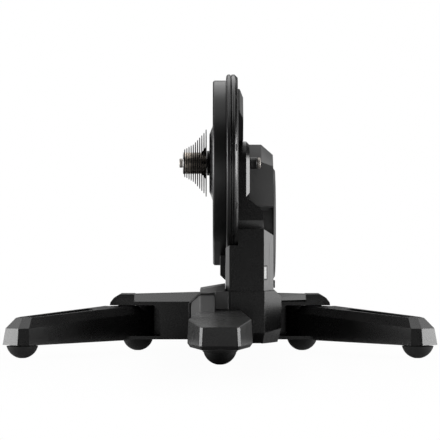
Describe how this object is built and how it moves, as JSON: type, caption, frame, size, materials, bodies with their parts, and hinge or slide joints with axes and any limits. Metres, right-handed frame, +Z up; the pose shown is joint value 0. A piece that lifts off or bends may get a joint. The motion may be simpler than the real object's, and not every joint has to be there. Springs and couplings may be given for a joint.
{
  "type": "direct drive bike trainer",
  "caption": "Indoor stand that replaces a bicycle's rear wheel: cassette on a fixed axle, belt driven flywheel, folding rear legs and round rubber feet.",
  "frame": {"origin": "middle of the bounding box in plan, on the floor that the feet stand on", "axes": "+X along the axle away from the cassette, +Y backwards from the bicycle, +Z up"},
  "size_m": [0.7396, 0.556, 0.489],
  "materials": {
    "black_casting": "black powder coat on cast aluminium",
    "black_plastic": "fine textured moulded plastic",
    "grey_plastic": "satin moulded plastic",
    "rubber": "smooth moulded rubber",
    "steel": "turned",
    "cog_steel": "stamped and nickel plated",
    "dark_steel": "turned and blacked",
    "alloy": "machined",
    "copper": "enamelled windings on a laminated core",
    "board_green": "solder resist",
    "lens_clear": "frosted light guide",
    "belt_rubber": "ribbed belt"
  },
  "bodies": {
    "frame": {"axle": "steel", "left_end_cap": "alloy", "right_axle_knob": "black_plastic", "right_axle_tip": "alloy", "belt": "belt_rubber", "idler_arm": "alloy", "casing_left": "black_plastic", "casing_right": "black_casting", "hub_bearing_left": "steel", "flywheel_bearing_left": "steel", "belt_cover": "black_plastic", "brake_stator": "copper", "flywheel_housing": "black_plastic", "flywheel_cover": "black_plastic", "pillar": "black_casting", "hub_bearing_right": "steel", "flywheel_bearing_right": "steel", "pillar_side_cover": "grey_plastic", "status_lens": "lens_clear", "circuit_board": "board_green", "pillar_left_cover": "black_plastic", "power_inlet": "black_plastic", "carry_handle": "grey_plastic", "base": "black_casting", "front_leg": "black_casting", "ramp_cover": "grey_plastic", "crossbar": "black_casting", "hinge_cap_left": "black_plastic", "hinge_pin_left": "steel", "hinge_cap_right": "black_plastic", "hinge_pin_right": "steel", "front_foot": "rubber", "inner_foot_left": "rubber", "inner_foot_right": "rubber"},
    "drive_pulley": {"hub_shaft": "dark_steel", "large_pulley": "alloy"},
    "freehub": {"freehub_body": "steel", "lockring": "steel", "cog_11": "cog_steel", "cog_12": "cog_steel", "cog_13": "cog_steel", "cog_14": "cog_steel", "cog_15": "cog_steel", "cog_17": "cog_steel", "cog_19": "cog_steel", "cog_21": "cog_steel", "cog_23": "cog_steel", "cog_25": "cog_steel", "cog_28": "cog_steel"},
    "flywheel": {"flywheel": "dark_steel", "flywheel_shaft": "steel", "small_pulley": "alloy"},
    "idler": {"idler_pulley": "dark_steel"},
    "leg_left": {"leg_left": "black_casting", "leg_inlay_left": "black_plastic", "outer_foot_left": "rubber"},
    "leg_right": {"leg_right": "black_casting", "leg_inlay_right": "black_plastic", "outer_foot_right": "rubber"}
  },
  "joints": [
    {"name": "flywheel_spin", "type": "hinge", "parent": "frame", "child": "flywheel", "pos_m": [0, 0.177, 0.228], "axis": [1, 0, 0], "continuous": true},
    {"name": "pulley_spin", "type": "hinge", "parent": "frame", "child": "drive_pulley", "pos_m": [0, 0.059, 0.334], "axis": [1, 0, 0], "continuous": true},
    {"name": "idler_spin", "type": "hinge", "parent": "frame", "child": "idler", "pos_m": [0, 0.11021, 0.19445], "axis": [1, 0, 0], "continuous": true},
    {"name": "freehub_spin", "type": "hinge", "parent": "drive_pulley", "child": "freehub", "pos_m": [0, 0.059, 0.334], "axis": [1, 0, 0], "continuous": true},
    {"name": "left_leg_fold", "type": "hinge", "parent": "frame", "child": "leg_left", "pos_m": [-0.148, 0.189, 0], "axis": [0, 0, 1], "range_deg": [0, 36.7]},
    {"name": "right_leg_fold", "type": "hinge", "parent": "frame", "child": "leg_right", "pos_m": [0.148, 0.189, 0], "axis": [0, 0, 1], "range_deg": [-36.7, 0]}
  ],
  "couplings": [
    {"joint": "pulley_spin", "follows": "flywheel_spin", "ratio": 0.17391},
    {"joint": "idler_spin", "follows": "flywheel_spin", "ratio": -1.4286}
  ]
}
